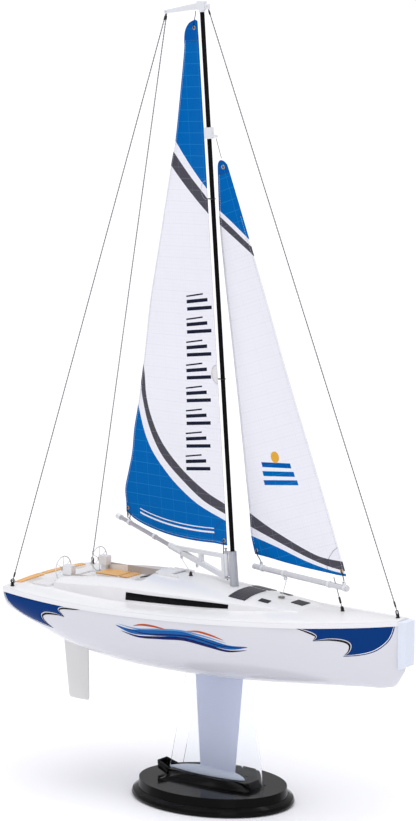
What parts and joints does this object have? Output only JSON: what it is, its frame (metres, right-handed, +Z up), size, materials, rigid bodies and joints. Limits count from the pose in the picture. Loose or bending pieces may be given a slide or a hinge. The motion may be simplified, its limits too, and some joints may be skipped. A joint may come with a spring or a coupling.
{
  "type": "rc sailing boat",
  "caption": "Model sailing yacht with main and jib on swinging booms, turning rudder and helm wheels, resting by its keel in a clear support on a low oval stand.",
  "frame": {"origin": "centre of the display stand's underside, on the surface it stands on", "axes": "+X to the bow, +Y to port, +Z up"},
  "size_m": [0.4024, 0.1374, 0.7216],
  "materials": {
    "stand_black": "polished",
    "pad_black": "matte",
    "clear_sheet": "polished clear sheet",
    "steel": "plain",
    "keel_grey": "satin",
    "hull_white": "gloss",
    "inner_white": "plain",
    "bumper": "satin",
    "window_black": "gloss",
    "panel_grey": "satin",
    "vent_grey": "satin",
    "teak": "printed planks",
    "display": "gloss",
    "wheel_rim": "satin",
    "mast_black": "satin",
    "step_grey": "satin",
    "fitting_black": "satin",
    "rudder_grey": "satin",
    "brass": "plain",
    "servo_black": "moulded",
    "arm_white": "moulded",
    "cell_wrap": "shrink wrap",
    "boom_pale": "satin",
    "boom_fitting": "moulded",
    "sailcloth": "ripstop sailcloth",
    "cord_grey": "braided"
  },
  "bodies": {
    "stand": {"stand_base": "stand_black", "stand_pad": "pad_black", "clear_support": "clear_sheet", "stand_cradle": "stand_black", "cradle_screws": "steel"},
    "boat": {"keel_fin": "keel_grey", "ballast_bulb": "keel_grey", "keel_box": "inner_white", "hull_shell": "hull_white", "deck_moulding": "hull_white", "gunwale_rail": "hull_white", "bow_bumper": "bumper", "side_windows": "window_black", "roof_panels": "panel_grey", "roof_vents": "vent_grey", "fore_hatch": "vent_grey", "hatch_rails": "inner_white", "washboard": "teak", "teak_pads": "teak", "stern_teak": "teak", "instrument_pod": "hull_white", "pod_display": "display", "helm_pedestals": "hull_white", "mast_step": "step_grey", "mast": "mast_black", "masthead": "boom_fitting", "halyard_fitting": "boom_fitting", "standing_rigging": "steel", "stay_shackles": "steel", "deck_eyes": "steel", "jib_sheet_bush": "fitting_black", "mast_rings": "steel", "jib_lines": "steel", "rudder_tube": "brass", "drive_servos": "servo_black", "inner_screws": "steel", "inner_trays": "inner_white", "battery_pack": "cell_wrap", "receiver": "servo_black", "power_switch_body": "servo_black", "gooseneck_pin": "steel", "main_sheet": "cord_grey", "jib_sheet": "cord_grey"},
    "rudder": {"rudder_blade": "rudder_grey", "rudder_stock": "steel"},
    "servo_arm": {"rudder_servo_arm": "arm_white"},
    "pushrod": {"rudder_pushrod": "steel"},
    "winch_arm": {"sail_winch_arm": "arm_white"},
    "main_boom": {"main_boom": "boom_pale", "gooseneck": "boom_fitting", "main_boom_fittings": "boom_fitting", "mainsail": "sailcloth"},
    "jib_boom": {"jib_boom": "boom_pale", "jib_boom_rings": "boom_fitting", "jib_sail": "sailcloth"},
    "helm_starboard": {"wheel_starboard": "wheel_rim"},
    "helm_port": {"wheel_port": "wheel_rim"},
    "hatch": {"companion_hatch": "hull_white"},
    "switch": {"power_switch_lever": "servo_black"}
  },
  "joints": [
    {"name": "boat_lift", "type": "slide", "parent": "stand", "child": "boat", "axis": [0, 0, 1], "range_m": [0, 0.17]},
    {"name": "rudder_turn", "type": "hinge", "parent": "boat", "child": "rudder", "pos_m": [-0.152, 0, 0.146], "axis": [0, 0, 1], "range_deg": [-35, 35]},
    {"name": "servo_arm_turn", "type": "hinge", "parent": "boat", "child": "servo_arm", "pos_m": [-0.112, 0, 0.1617], "axis": [0, 0, 1], "range_deg": [-35, 35]},
    {"name": "pushrod_pivot", "type": "hinge", "parent": "servo_arm", "child": "pushrod", "pos_m": [-0.112, 0.012, 0.1638], "axis": [0, 0, 1], "range_deg": [-35, 35]},
    {"name": "winch_arm_turn", "type": "hinge", "parent": "boat", "child": "winch_arm", "pos_m": [-0.066, 0, 0.1628], "axis": [0, 0, 1], "range_deg": [-60, 60]},
    {"name": "main_boom_swing", "type": "hinge", "parent": "boat", "child": "main_boom", "pos_m": [0.0155, 0, 0.219], "axis": [-0.0698, 0, 0.9976], "range_deg": [-50, 90], "deforming": ["main_sheet"]},
    {"name": "jib_boom_swing", "type": "hinge", "parent": "boat", "child": "jib_boom", "pos_m": [0.142, 0, 0.191], "axis": [-0.3193, 0, 0.9476], "range_deg": [-49.5, 70.5], "deforming": ["jib_sheet"]},
    {"name": "wheel_starboard_turn", "type": "hinge", "parent": "boat", "child": "helm_starboard", "pos_m": [-0.1506, -0.027, 0.1989], "axis": [1, 0, 0], "continuous": true},
    {"name": "wheel_port_turn", "type": "hinge", "parent": "boat", "child": "helm_port", "pos_m": [-0.1506, 0.027, 0.1989], "axis": [1, 0, 0], "continuous": true},
    {"name": "hatch_slide", "type": "slide", "parent": "boat", "child": "hatch", "axis": [1, 0, 0], "range_m": [0, 0.011]},
    {"name": "switch_slide", "type": "slide", "parent": "boat", "child": "switch", "axis": [1, 0, 0], "range_m": [0, 0.003]}
  ],
  "couplings": [
    {"joint": "servo_arm_turn", "follows": "rudder_turn", "ratio": 1},
    {"joint": "pushrod_pivot", "follows": "rudder_turn", "ratio": -1}
  ]
}
